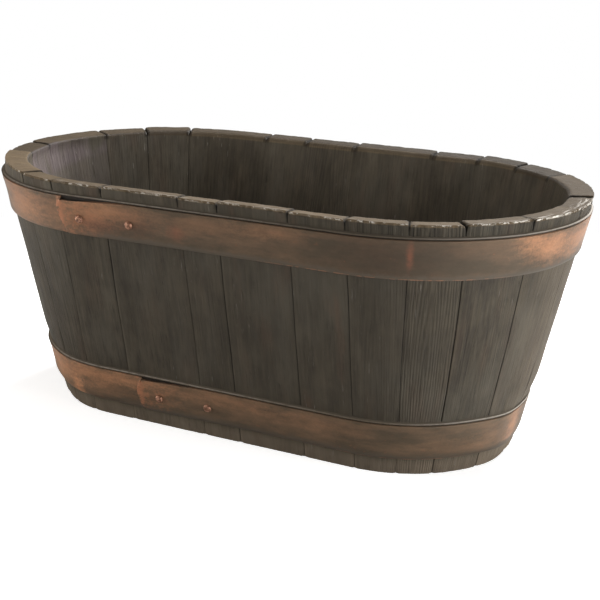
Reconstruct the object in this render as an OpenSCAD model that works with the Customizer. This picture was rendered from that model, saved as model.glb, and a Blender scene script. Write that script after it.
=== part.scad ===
// Trough planter built like a half barrel: leaning staves held by two riveted hoops.
// The plan is a stadium, with straight sides and round ends, and every wall leans out alike.
// Millimetres, +Z up, long side along X, origin at the bottom centre of the bounding box.

/* [Body] */
// Length over the rim, end to end
body_length = 600; // [560:5:640]
// Width over the rim, front to back
body_width = 340; // [320:5:360]
// Height from the floor to the highest stave
body_height = 245; // [230:5:260]
// How far each wall leans out over the whole height
wall_lean = 50; // [40:1:60]
// Thickness of the thinnest staves, measured level
wall_thickness = 20; // [16:1:24]

/* [Staves] */
// Width of the notch at the top of each seam
notch_width = 8; // [4:0.5:12]
// Depth of the notch at the top of each seam
notch_depth = 4; // [3.5:0.5:6]
// Flat cut along the outer top and bottom edges of the staves
edge_cut = 1.5; // [0.5:0.5:2]
// Flat cut along the inner top edge, which is worn more than the outer one
inner_cut = 3.5; // [1:0.5:5]
// How far the top of a stave falls from its outer edge to its inner one
rim_fall = 1.5; // [0:0.5:2.5]
// Flat cut along the long edges of the staves, which shows each seam as a groove
seam_ease = 1; // [0.4:0.1:1.4]

/* [Base] */
// Height of the base panel's underside above the floor
base_rise = 14; // [10:1:25]
// Thickness of the base panel
base_thickness = 12; // [8:1:16]
// How deep the panel's edge sits in the groove of a stave
groove_depth = 6; // [4:1:8]
// Free play around the panel's edge in the groove
groove_play = 0.5; // [0.2:0.1:1]
// Diameter of a drain hole
drain_diameter = 14; // [8:1:20]
// Distance between two drain holes
drain_pitch = 120; // [80:5:130]

/* [Hoops] */
// Height of the upper hoop's lower edge
upper_hoop_foot = 195; // [185:1:200]
// Height of the lower hoop's lower edge
lower_hoop_foot = 19; // [12:1:30]
// Height of the upper hoop
upper_hoop_height = 36; // [30:1:38]
// Height of the lower hoop
lower_hoop_height = 34; // [28:1:38]
// Thickness of a hoop's band
hoop_thickness = 3; // [2:0.5:4]
// Height of the lip that flares out of the wall above a hoop's painted face
lip_height = 2.5; // [2:0.5:6]
// Height of the groove between the lip and the painted face
groove_gap = 1; // [0.5:0.5:2]
// Depth of that groove
groove_cut = 1.2; // [0.5:0.1:1.5]
// Round of a hoop's lower edge
foot_round = 1.5; // [0.5:0.5:2]
// Extra thickness at the free end of the lap, where one end of the band lies over the other
lap_thickness = 2.5; // [1.5:0.5:3]
// Length of the lap, over which the extra thickness runs out
lap_length = 96; // [90:1:110]
// Place of the upper lap's free end along the front, from the middle
upper_lap_end = -151; // [-155:1:-131]
// Place of the lower lap's free end along the front, from the middle
lower_lap_end = -91; // [-110:1:-60]

/* [Rivets] */
// Diameter of a rivet's domed head
head_diameter = 8; // [6:0.5:10]
// Height of a rivet's domed head
head_height = 2.6; // [1.5:0.1:3]
// Diameter of a rivet's shank
shank_diameter = 4; // [3:0.5:5]
// Distance from the lap's free end to the first rivet
rivet_inset = 23; // [15:1:30]
// Distance between the two rivets of a hoop
rivet_pitch = 54; // [40:1:60]
// How far the rivets sit below the middle of the band
rivet_drop = 2; // [0:0.5:4]

/* [Hidden] */
// Cutting list, from the front left seam round by the right end: width at the rim,
// extra thickness and how far the top stays below the highest stave.
cutting_list = [
    [80, 0, 0.4],
    [39, 0, 1.2],
    [67, 0, 0.0],
    [52, 0, 0.8],
    [54, 1, 0.2],
    [47, 2, 1.0],
    [65, 3, 0.0],
    [72, 4, 0.6],
    [50, 4, 1.4],
    [102, 4, 0.2],
    [60, 3, 0.8],
    [54, 1, 0.0],
    [53, 0, 0.8],
    [90, 0, 0.2],
    [58, 0, 1.0],
    [50, 0, 0.4],
    [103, 0, 0.8],
    [55, 1, 0.0],
    [57, 2, 0.8],
    [101, 3, 0.4],
    [55, 4, 1.2],
    [122, 4, 0.2],
    [46, 3, 1.0],
    [56, 1, 0.6]
];
// Place of the first seam, from the left end of the straight front
first_seam = 28;

rim_radius = body_width / 2;
base_radius = rim_radius - wall_lean;
straight_half = body_length / 2 - rim_radius;
lean_angle = atan(wall_lean / body_height);
straight = 2 * straight_half;
half_turn = PI * rim_radius;
perimeter = 2 * straight + 2 * half_turn;
stave_count = len(cutting_list);
// The lap stands out at the front only, so the model shifts back by half of it
origin_shift = lap_thickness * cos(lean_angle) / 2;
// Small overrun that keeps a cutter's face off the face it cuts
overrun = 1;
// Depth off the wall at which the lap's extra layer is rooted in the band
lap_root = hoop_thickness - 0.5;
round_steps = 180;
// Straight pieces that the lip's hollow curve is made of
lip_steps = 3;

stave_nodes = [for (i = [1 : stave_count]) str("stave_", i < 10 ? "0" : "", i)];

// Outer radius of the wall at height z
function wall_radius(z) = base_radius + wall_lean * z / body_height;

// Sum of the first n widths in the cutting list
function width_sum(n) = n == 0 ? 0 : cutting_list[n - 1][0] + width_sum(n - 1);

// Place of seam n on the rim, with the widths spread to close the ring
function seam(n) = first_seam + perimeter * width_sum(n) / width_sum(stave_count);

// The rim runs front, right end, back, left end and front again, and each stretch has
// its start, its end, whether it is round, and the turn that brings it to its side.
stretches = [
    [0, straight, false, 0],
    [straight, straight + half_turn, true, 0],
    [straight + half_turn, 2 * straight + half_turn, false, 180],
    [2 * straight + half_turn, perimeter, true, 180],
    [perimeter, perimeter + straight, false, 0]
];

function rim_degrees(length) = length / rim_radius * 180 / PI;

// Sweeps a profile of level radius and height along the rim, from one place to another.
// A round piece that ends where a straight one starts is swept back from that end, so
// that the two share one exact face.
module along_rim(from, to, profile) {
    for (stretch = stretches) {
        low = max(from, stretch[0]);
        high = min(to, stretch[1]);
        back = high == stretch[1] && low > stretch[0];
        if (high > low) {
            rotate([0, 0, stretch[3]])
                if (stretch[2])
                    translate([straight_half, 0, 0])
                        rotate([0, 0, back ? 90 : rim_degrees(low - stretch[0]) - 90])
                            rotate_extrude(angle = rim_degrees(high - low) * (back ? -1 : 1), $fn = round_steps)
                                polygon(profile);
                else
                    translate([high - stretch[0] - straight_half, 0, 0])
                        rotate([90, 0, -90])
                            linear_extrude(high - low)
                                polygon(profile);
        }
    }
}

// Turns its children so that their +X points out of the wall at a place on the rim
module facing_out(place) {
    for (stretch = stretches)
        if (place >= stretch[0] && place < stretch[1])
            rotate([0, 0, stretch[3]])
                if (stretch[2])
                    translate([straight_half, 0, 0])
                        rotate([0, 0, rim_degrees(place - stretch[0]) - 90])
                            children();
                else
                    translate([place - stretch[0] - straight_half, 0, 0])
                        rotate([0, 0, -90])
                            children();
}

// Lays its children on the front wall: X along it, Y up its slope and Z out of it
module on_front(x, z) {
    translate([x, -wall_radius(z), z])
        rotate([90 + lean_angle, 0, 0])
            children();
}

// Radial outline of a stave, with a groove for the base panel
function stave_profile(thickness, top) = let (
    groove_top = base_rise + base_thickness,
    groove_radius = wall_radius(base_rise) - wall_thickness + groove_depth
) [
    [base_radius - edge_cut, 0],
    [wall_radius(edge_cut), edge_cut],
    [wall_radius(top - edge_cut), top - edge_cut],
    [wall_radius(top) - edge_cut, top],
    [wall_radius(top) - thickness + inner_cut, top - rim_fall],
    [wall_radius(top - rim_fall - inner_cut) - thickness, top - rim_fall - inner_cut],
    [wall_radius(groove_top) - thickness, groove_top],
    [groove_radius, groove_top],
    [groove_radius, base_rise],
    [wall_radius(base_rise) - thickness, base_rise],
    [base_radius - thickness, 0]
];

// Slanting cut across a stave's top corner at a seam, on the side that the stave lies
module seam_notch(place, side) {
    slope = 2 * notch_depth / notch_width;
    facing_out(place)
        translate([rim_radius - 2 * wall_thickness, 0, body_height])
            rotate([90, 0, 90])
                linear_extrude(3 * wall_thickness)
                    polygon([
                        [-side * overrun, -notch_depth - slope * overrun],
                        [side * (notch_width / 2 + overrun), slope * overrun],
                        [-side * overrun, slope * overrun]
                    ]);
}

// Slanting cut down a stave's long outer edge at a seam, on the side that the stave lies
module seam_groove(place, side) {
    facing_out(place)
        translate([base_radius, 0, 0])
            rotate([0, lean_angle, 0])
                translate([0, 0, -rim_radius])
                    linear_extrude(2 * rim_radius + body_height)
                        polygon([
                            [-seam_ease - overrun, -side * overrun],
                            [overrun, side * (seam_ease + overrun)],
                            [overrun, -side * overrun]
                        ]);
}

// One stave, from its seam to the next, by its number from 1
module stave(number) {
    row = cutting_list[number - 1];
    from = seam(number - 1);
    to = seam(number);
    color("#5a5146")
        difference() {
            along_rim(from, to, stave_profile(wall_thickness + row[1], body_height - row[2]));
            seam_notch(from, 1);
            seam_notch(to, -1);
            seam_groove(from, 1);
            seam_groove(to, -1);
        }
}

// Flat bottom panel, held in the groove of the staves
module base_panel() {
    panel_radius = wall_radius(base_rise) - wall_thickness + groove_depth - groove_play;
    panel_edge = [
        [0, base_rise],
        [panel_radius, base_rise],
        [panel_radius, base_rise + base_thickness],
        [0, base_rise + base_thickness]
    ];
    color("#3d3731")
        difference() {
            along_rim(0, perimeter, panel_edge);
            for (i = [-1 : 1])
                translate([i * drain_pitch, 0, base_rise - overrun])
                    cylinder(h = base_thickness + 2 * overrun, d = drain_diameter, $fn = 48);
        }
}

// Point at a height on the wall, moved out square to it
function off_wall(z, depth) = [wall_radius(z) + depth * cos(lean_angle), z - depth * sin(lean_angle)];

// Radial outline of a hoop: painted face with a soft lower edge, groove, and flaring lip
function hoop_profile(foot, height) = let (
    head = foot + height,
    lip = head + groove_gap
) concat(
    [
        off_wall(foot, 0),
        off_wall(foot, hoop_thickness - foot_round),
        off_wall(foot + foot_round, hoop_thickness),
        off_wall(head, hoop_thickness),
        off_wall(head, hoop_thickness - groove_cut),
        off_wall(lip, hoop_thickness - groove_cut)
    ],
    [
        for (i = [0 : lip_steps])
            off_wall(lip + lip_height * i / lip_steps, hoop_thickness * pow(1 - i / lip_steps, 2))
    ]
);

// Radial outline of the lap's extra layer, rooted in the painted face
function lap_profile(foot, height) = [
    off_wall(foot + foot_round, lap_root),
    off_wall(foot + foot_round, hoop_thickness + lap_thickness),
    off_wall(foot + height, hoop_thickness + lap_thickness),
    off_wall(foot + height, lap_root)
];

// Extra layer of the lap: full over the round corner, then running out along the front
module lap(foot, height, end) {
    turn = max(0, -straight_half - end);
    start = max(end, -straight_half);
    full = hoop_thickness + lap_thickness;
    along_rim(perimeter - turn, perimeter, lap_profile(foot, height));
    on_front(0, foot + height)
        rotate([90, 0, 0])
            linear_extrude((height - foot_round) / cos(lean_angle))
                polygon([
                    [start, lap_root],
                    [start, full],
                    [end + lap_length, hoop_thickness],
                    [end + lap_length, lap_root]
                ]);
}

// Places its children on rivet i of a hoop, counted from the lap's free end
module at_rivet(foot, height, end, i) {
    on_front(end + rivet_inset + i * rivet_pitch, foot + height / 2 - rivet_drop)
        children();
}

// Thickness of band and lap at rivet i, where its head sits
function rivet_seat(i) = hoop_thickness
    + lap_thickness * (1 - (rivet_inset + i * rivet_pitch) / lap_length);

// One riveted band round the staves
module hoop(foot, height, end) {
    color("#8f6b50")
        difference() {
            union() {
                along_rim(0, perimeter, hoop_profile(foot, height));
                lap(foot, height, end);
            }
            for (i = [0 : 1])
                at_rivet(foot, height, end, i)
                    translate([0, 0, -overrun])
                        cylinder(h = hoop_thickness + lap_thickness + 2 * overrun, d = shank_diameter, $fn = 32);
        }
}

// The two rivets of a hoop: domed heads on shanks that fill the holes
module rivets(foot, height, end) {
    dome_radius = (pow(head_diameter / 2, 2) + pow(head_height, 2)) / (2 * head_height);
    color("#a9714f")
        for (i = [0 : 1])
            at_rivet(foot, height, end, i) {
                cylinder(h = rivet_seat(i), d = shank_diameter, $fn = 32);
                translate([0, 0, rivet_seat(i)])
                    intersection() {
                        translate([0, 0, head_height - dome_radius])
                            sphere(r = dome_radius, $fn = 64);
                        cylinder(h = 2 * head_height, d = 2 * head_diameter, $fn = 32);
                    }
            }
}

module upper_hoop() {
    hoop(upper_hoop_foot, upper_hoop_height, upper_lap_end);
}

module lower_hoop() {
    hoop(lower_hoop_foot, lower_hoop_height, lower_lap_end);
}

module upper_rivets() {
    rivets(upper_hoop_foot, upper_hoop_height, upper_lap_end);
}

module lower_rivets() {
    rivets(lower_hoop_foot, lower_hoop_height, lower_lap_end);
}

// Moves its children so that the bounding box is centred on the origin
module centred() {
    translate([0, origin_shift, 0])
        children();
}

for (i = [1 : stave_count]) centred() stave(i);
centred() base_panel();
centred() upper_hoop();
centred() lower_hoop();
centred() upper_rivets();
centred() lower_rivets();
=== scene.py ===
"""Looks of the trough planter: weathered boards, two riveted hoops and a base panel.

Every piece is set out flat first, as on a maker's bench: along the rim, into the wall and
up. It is divided and carved there, and is then wrapped round the leaning wall.
All sizes are in metres.
"""

import logging
import math
from dataclasses import dataclass, replace
from enum import Enum

import bmesh
import bpy
import numpy as np
from mathutils import Matrix, Vector

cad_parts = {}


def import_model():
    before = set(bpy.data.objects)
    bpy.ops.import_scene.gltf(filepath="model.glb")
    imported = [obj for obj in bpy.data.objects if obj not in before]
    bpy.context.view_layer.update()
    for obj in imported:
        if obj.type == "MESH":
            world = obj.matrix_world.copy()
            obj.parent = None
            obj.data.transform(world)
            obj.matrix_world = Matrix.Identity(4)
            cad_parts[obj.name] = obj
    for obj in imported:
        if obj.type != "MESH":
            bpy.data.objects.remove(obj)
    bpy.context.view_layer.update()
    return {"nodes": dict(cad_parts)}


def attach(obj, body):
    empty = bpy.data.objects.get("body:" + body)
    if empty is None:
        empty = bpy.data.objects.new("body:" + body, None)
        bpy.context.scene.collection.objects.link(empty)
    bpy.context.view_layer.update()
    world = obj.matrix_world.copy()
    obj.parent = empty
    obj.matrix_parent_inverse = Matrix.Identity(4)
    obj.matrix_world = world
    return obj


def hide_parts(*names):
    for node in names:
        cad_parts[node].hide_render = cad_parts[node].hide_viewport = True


log = logging.getLogger("trough_planter")
logging.basicConfig(level=logging.INFO, format="%(message)s")

FLAT = "flat"
TOUCH = 1e-6
SMOOTH_UNDER = math.radians(50)
MOST_CUTS = 100

Span = tuple[float, float]
Place = tuple[float, float, float]


class Axis(Enum):
    """The three directions of a piece that lies flat."""

    ALONG = 0
    INTO = 1
    UP = 2


class Figure(Enum):
    """How strongly the growth rings show on a board."""

    PLAIN = 0.0
    QUIET = 0.25
    BOLD = 0.75


# ---------------------------------------------------------------- setting out


def eased(value: np.ndarray, start: float, end: float) -> np.ndarray:
    """Goes softly from 0 at the start to 1 at the end."""
    share = np.clip((value - start) / (end - start), 0, 1)
    return share * share * (3 - 2 * share)


def rounded(value: np.ndarray, radius: float) -> np.ndarray:
    """Falls from 1 at a corner to 0 at the radius, as a quarter circle does."""
    share = np.clip(1 - value / radius, 0, 1)
    return 1 - np.sqrt(1 - share * share)


@dataclass(frozen=True)
class Plan:
    """The leaning wall that every piece is set out on: a stadium with round ends."""

    length: float = 0.600
    width: float = 0.340
    height: float = 0.245
    lean: float = 0.050
    back_shift: float = 0.001225
    foot_stretch: Span = (0.075, 0.045)
    toe_stretch: Span = (0.020, 0.0)
    rim_stretch: Span = (0.231, 0.245)
    right_turns: tuple[Span, Span] = ((1.15, 1.52), (2.6, 2.0))
    left_turns: tuple[Span, Span] = ((0.30, 0.70), (2.5, 1.8))
    foot_in: Span = (0.0030, 0.0026)
    toe_in: float = 0.0012
    rim_in: float = 0.0028

    @property
    def rim_radius(self) -> float:
        """Radius of the round ends at the rim."""
        return self.width / 2

    @property
    def half_straight(self) -> float:
        """Half the length of a straight side."""
        return self.length / 2 - self.rim_radius

    @property
    def half_turn(self) -> float:
        """Length of one round end, measured at the rim."""
        return math.pi * self.rim_radius

    @property
    def perimeter(self) -> float:
        """Length once round the rim."""
        return 4 * self.half_straight + 2 * self.half_turn

    @property
    def lean_angle(self) -> float:
        """Angle of the wall from upright."""
        return math.atan(self.lean / self.height)

    def wall_radius(self, height: np.ndarray | float) -> np.ndarray | float:
        """Radius of the wall's outer face at a height."""
        return self.rim_radius - self.lean * (1 - height / self.height)

    def wrap(self, flat: np.ndarray) -> np.ndarray:
        """Bends flat points round the wall.

        Args:
            flat: Rows of place along the rim, level depth into the wall, and height.

        Returns:
            Rows of x, y and z in the frame that all pieces share.
        """
        side = 2 * self.half_straight
        place = np.mod(flat[:, 0], self.perimeter)
        radius = self.wall_radius(flat[:, 2]) - flat[:, 1] - self.settled(flat)
        back = place >= side + self.half_turn
        place = place - np.where(back, side + self.half_turn, 0.0)
        turn = np.clip((place - side) / self.rim_radius, 0.0, math.pi)
        x = np.minimum(place, side) - self.half_straight + radius * np.sin(turn)
        y = -radius * np.cos(turn)
        flip = np.where(back, -1.0, 1.0)
        return np.column_stack([flip * x, flip * y + self.back_shift, flat[:, 2]])

    def from_ends(self, flat: np.ndarray) -> tuple[np.ndarray, np.ndarray]:
        """Angle round the right end, and back round the left end, from the front."""
        place = np.mod(flat[:, 0] + self.perimeter / 2, self.perimeter) - self.perimeter / 2
        return (place - 2 * self.half_straight) / self.rim_radius, -place / self.rim_radius

    def settled(self, flat: np.ndarray) -> np.ndarray:
        """How far the round ends stand in from the true round, near the foot and the rim."""
        ends = zip(self.from_ends(flat), (self.right_turns, self.left_turns))
        right, left = (eased(turn, *rise) * eased(turn, *fall) for turn, (rise, fall) in ends)
        stretches = (self.foot_stretch, self.toe_stretch, self.rim_stretch)
        foot, toe, rim = (eased(flat[:, 2], *stretch) for stretch in stretches)
        foot_right, foot_left = self.foot_in
        foot = foot * (foot_right * right + foot_left * left)
        return foot + toe * self.toe_in * (left + right) + rim * self.rim_in * left

    def unwrap(self, points: np.ndarray) -> np.ndarray:
        """Lays points of the wall out flat, the other way round from wrap.

        Args:
            points: Rows of x, y and z in the frame that all pieces share.

        Returns:
            Rows of place along the rim, level depth into the wall, and height. The places
            run on without a jump where a piece crosses the start of the rim.
        """
        x, y, z = points[:, 0], points[:, 1] - self.back_shift, points[:, 2]
        back = np.where(np.abs(x) <= self.half_straight, y > 0, x < 0)
        flip = np.where(back, -1.0, 1.0)
        x, y = flip * x, flip * y
        beyond = np.maximum(x - self.half_straight, 0.0)
        turn = np.arctan2(beyond, -y)
        radius = np.hypot(beyond, y)
        place = np.minimum(x, self.half_straight) + self.half_straight + turn * self.rim_radius
        place = place + np.where(back, 2 * self.half_straight + self.half_turn, 0.0)
        first = place[0]
        half = self.perimeter / 2
        place = np.mod(place - first + half, self.perimeter) - half + first
        return np.column_stack([place, self.wall_radius(z) - radius, z])

    def off_wall(self, height: float, out: float) -> tuple[float, float]:
        """Depth and height of a point moved out square to the wall from a height on it."""
        drop = out * math.sin(self.lean_angle)
        level = out * math.cos(self.lean_angle) + drop * math.tan(self.lean_angle)
        return -level, height - drop


PLAN = Plan()


# ---------------------------------------------------------------- bench work


def clear_selection() -> None:
    """Deselects every object, because an operator acts on all that is selected."""
    if bpy.context.mode != "OBJECT":
        bpy.ops.object.mode_set(mode="OBJECT")
    bpy.ops.object.select_all(action="DESELECT")


def choose(piece: bpy.types.Object) -> None:
    """Makes one piece the only one selected, and active."""
    clear_selection()
    piece.select_set(True)
    bpy.context.view_layer.objects.active = piece


def coordinates(piece: bpy.types.Object) -> np.ndarray:
    """The places of a mesh's vertices, as rows."""
    flat = np.empty(3 * len(piece.data.vertices), np.float32)
    piece.data.vertices.foreach_get("co", flat)
    return flat.reshape(-1, 3).astype(float)


def place_vertices(piece: bpy.types.Object, rows: np.ndarray) -> None:
    """Puts a mesh's vertices where the rows say."""
    piece.data.vertices.foreach_set("co", rows.astype(np.float32).ravel())
    piece.data.update()


def bar(name: str, outline: list[Span], start: float, end: float) -> bpy.types.Object:
    """Makes a straight bar of one outline, lying along the rim.

    Args:
        name: Name of the piece.
        outline: Depth and height of each corner, in order.
        start: Place along the rim where the bar starts.
        end: Place where it ends.

    Returns:
        The bar, closed at both ends, in edit mode.
    """
    clear_selection()
    bpy.ops.mesh.primitive_circle_add(vertices=len(outline), fill_type="NGON")
    piece = bpy.context.object
    piece.name = piece.data.name = name
    for vertex, (depth, height) in zip(piece.data.vertices, outline):
        vertex.co = (start, depth, height)
    bpy.ops.object.mode_set(mode="EDIT")
    bpy.ops.mesh.select_all(action="SELECT")
    bpy.ops.mesh.extrude_region_move(TRANSFORM_OT_translate={"value": (end - start, 0, 0)})
    bpy.ops.mesh.select_all(action="SELECT")
    bpy.ops.mesh.normals_make_consistent(inside=False)
    return piece


def cut_across(axis: Axis, places: list[float]) -> None:
    """Cuts the whole piece in edit mode by level planes square to an axis."""
    for place in places:
        at = [0.0, 0.0, 0.0]
        square = [0.0, 0.0, 0.0]
        at[axis.value] = place
        square[axis.value] = 1.0
        bpy.ops.mesh.select_all(action="SELECT")
        bpy.ops.mesh.bisect(plane_co=at, plane_no=square)


def divide(piece: bpy.types.Object, axis: Axis, low: float, high: float, step: float) -> None:
    """Divides the edges that run along an axis between two places, in edit mode.

    Args:
        piece: The piece in edit mode.
        axis: The direction of the edges.
        low: Where the stretch starts.
        high: Where it ends.
        step: The longest part that an edge is left in.
    """
    cuts = min(MOST_CUTS, max(1, math.ceil((high - low) / step) - 1))
    mesh = bmesh.from_edit_mesh(piece.data)
    bpy.ops.mesh.select_mode(type="EDGE")
    bpy.ops.mesh.select_all(action="DESELECT")
    for edge in mesh.edges:
        run = edge.verts[1].co - edge.verts[0].co
        middle = (edge.verts[0].co + edge.verts[1].co)[axis.value] / 2
        straight = abs(run[axis.value]) > 0.999 * run.length
        edge.select = straight and low < middle < high
    bmesh.update_edit_mesh(piece.data)
    bpy.ops.mesh.subdivide(number_cuts=cuts)


def weigh(piece: bpy.types.Object, name: str, weights: np.ndarray) -> None:
    """Gives a piece a vertex group with a weight for each vertex."""
    group = piece.vertex_groups.new(name=name)
    for index in np.nonzero(weights > 0)[0]:
        group.add([int(index)], float(min(1.0, weights[index])), "REPLACE")


@dataclass(frozen=True)
class Carving:
    """One pass of relief cut into a flat piece, by cloudy noise stretched to a size."""

    depth: float
    size: Place
    settings: dict
    direction: str = "Y"
    stops: tuple[Span, ...] = ()

    def cut(
        self,
        piece: bpy.types.Object,
        group: str,
        inward: int = 1,
        centre: Place = (0.0, 0.0, 0.0),
        tilt: float = 0.0,
    ) -> None:
        """Carves the piece, and clears the guide and texture away.

        Args:
            piece: The flat piece, in object mode.
            group: The vertex group that is carved.
            inward: 1 where the direction's axis goes into the piece there, and -1 where it
                comes out of it.
            centre: Where the noise starts.
            tilt: How far it is turned, seen from the front.
        """
        clear_selection()
        bpy.ops.object.empty_add(location=centre, rotation=(0, tilt, 0))
        guide = bpy.context.object
        guide.scale = self.size
        texture = bpy.data.textures.new("relief", "CLOUDS")
        for name, value in self.settings.items():
            setattr(texture, name, value)
        if self.stops:
            texture.use_color_ramp = True
            for element, (place, grey) in zip(texture.color_ramp.elements, self.stops):
                element.position = place
                element.color = (grey, grey, grey, 1)
        choose(piece)
        carve = piece.modifiers.new("carve", "DISPLACE")
        carve.texture = texture
        carve.texture_coords = "OBJECT"
        carve.texture_coords_object = guide
        carve.direction = self.direction
        carve.strength = -inward * self.depth
        carve.mid_level = 1.0
        carve.vertex_group = group
        bpy.ops.object.modifier_apply(modifier=carve.name)
        bpy.data.objects.remove(guide)
        bpy.data.textures.remove(texture)


def shift(piece: bpy.types.Object, group: str, direction: str, distance: float) -> None:
    """Moves the vertices of a group along an axis, by their weights."""
    choose(piece)
    move = piece.modifiers.new("shift", "DISPLACE")
    move.direction = direction
    move.strength = distance
    move.mid_level = 0.0
    move.vertex_group = group
    bpy.ops.object.modifier_apply(modifier=move.name)


def soften(piece: bpy.types.Object, group: str) -> None:
    """Wears the edges in a group round."""
    choose(piece)
    wear = piece.modifiers.new("soften", "SMOOTH")
    wear.iterations = 2
    wear.factor = 0.5
    wear.vertex_group = group
    bpy.ops.object.modifier_apply(modifier=wear.name)


def set_on_wall(piece: bpy.types.Object, moved: np.ndarray | float = 0.0) -> None:
    """Keeps a piece's flat places for its finish, and wraps it round the wall.

    The places are kept for each corner of each face, so that a ring's two ends keep their own.
    Bend needs a window, so the wrap is worked out point by point.

    Args:
        piece: The carved flat piece.
        moved: How far each vertex moves first, along the rim, inwards and up.
    """
    flat = coordinates(piece)
    kept = piece.data.attributes.new(FLAT, "FLOAT_VECTOR", "CORNER")
    corners = np.empty(len(piece.data.loops), np.int32)
    piece.data.loops.foreach_get("vertex_index", corners)
    kept.data.foreach_set("vector", flat[corners].astype(np.float32).ravel())
    place_vertices(piece, PLAN.wrap(flat + moved))
    piece.vertex_groups.clear()
    choose(piece)
    bpy.ops.object.shade_smooth_by_angle(angle=SMOOTH_UNDER)


# ---------------------------------------------------------------- finishes


class Shade:
    """A shader socket that takes part in Python sums, each of which adds a Math node."""

    def __init__(self, recipe: "Recipe", socket: bpy.types.NodeSocket) -> None:
        """Wraps one output socket of a recipe."""
        self.recipe = recipe
        self.socket = socket

    def _math(self, operation: str, first: "Shade | float", second: "Shade | float") -> "Shade":
        """One Math node on two values."""
        return self.recipe.node("ShaderNodeMath", {"operation": operation}, {0: first, 1: second})

    def __add__(self, other: "Shade | float") -> "Shade":
        """This value plus another."""
        return self._math("ADD", self, other)

    __radd__ = __add__

    def __sub__(self, other: "Shade | float") -> "Shade":
        """This value less another."""
        return self._math("SUBTRACT", self, other)

    def __rsub__(self, other: float) -> "Shade":
        """A number less this value."""
        return self._math("SUBTRACT", other, self)

    def __mul__(self, other: "Shade | float") -> "Shade":
        """This value times another."""
        return self._math("MULTIPLY", self, other)

    __rmul__ = __mul__

    def __truediv__(self, other: "Shade | float") -> "Shade":
        """This value over another."""
        return self._math("DIVIDE", self, other)

    def least(self, other: "Shade | float") -> "Shade":
        """The lesser of two values."""
        return self._math("MINIMUM", self, other)

    def most(self, other: "Shade | float") -> "Shade":
        """The greater of two values."""
        return self._math("MAXIMUM", self, other)

    def root(self) -> "Shade":
        """The square root."""
        return self._math("SQRT", self, 0.0)

    def rings(self, period: float) -> "Shade":
        """Rises and falls between 0 and 1, once in each period."""
        return 0.5 + 0.5 * self._math("SINE", self * (2 * math.pi / period), 0.0)

    def within(self, low: float, high: float) -> "Shade":
        """Eases from 0 at low to 1 at high, or the other way where low is the greater."""
        turned = low > high
        eased = self.recipe.node(
            "ShaderNodeMapRange",
            {"interpolation_type": "SMOOTHSTEP"},
            {"Value": self, "From Min": min(low, high), "From Max": max(low, high)},
        )
        return 1 - eased if turned else eased

    def between(self, rise: Span, fall: Span) -> "Shade":
        """Eases up over one span, and down again over another."""
        return self.within(*rise) * self.within(*fall)


Colour = Place
Given = "Shade | float | tuple"


@dataclass(frozen=True)
class Pattern:
    """A cloudy noise: how fine and rough it is, how it is drawn out, and where it starts."""

    scale: float
    detail: float = 3
    rough: float = 0.55
    stretch: Place = (1, 1, 1)
    offset: Place = (0, 0, 0)


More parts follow.
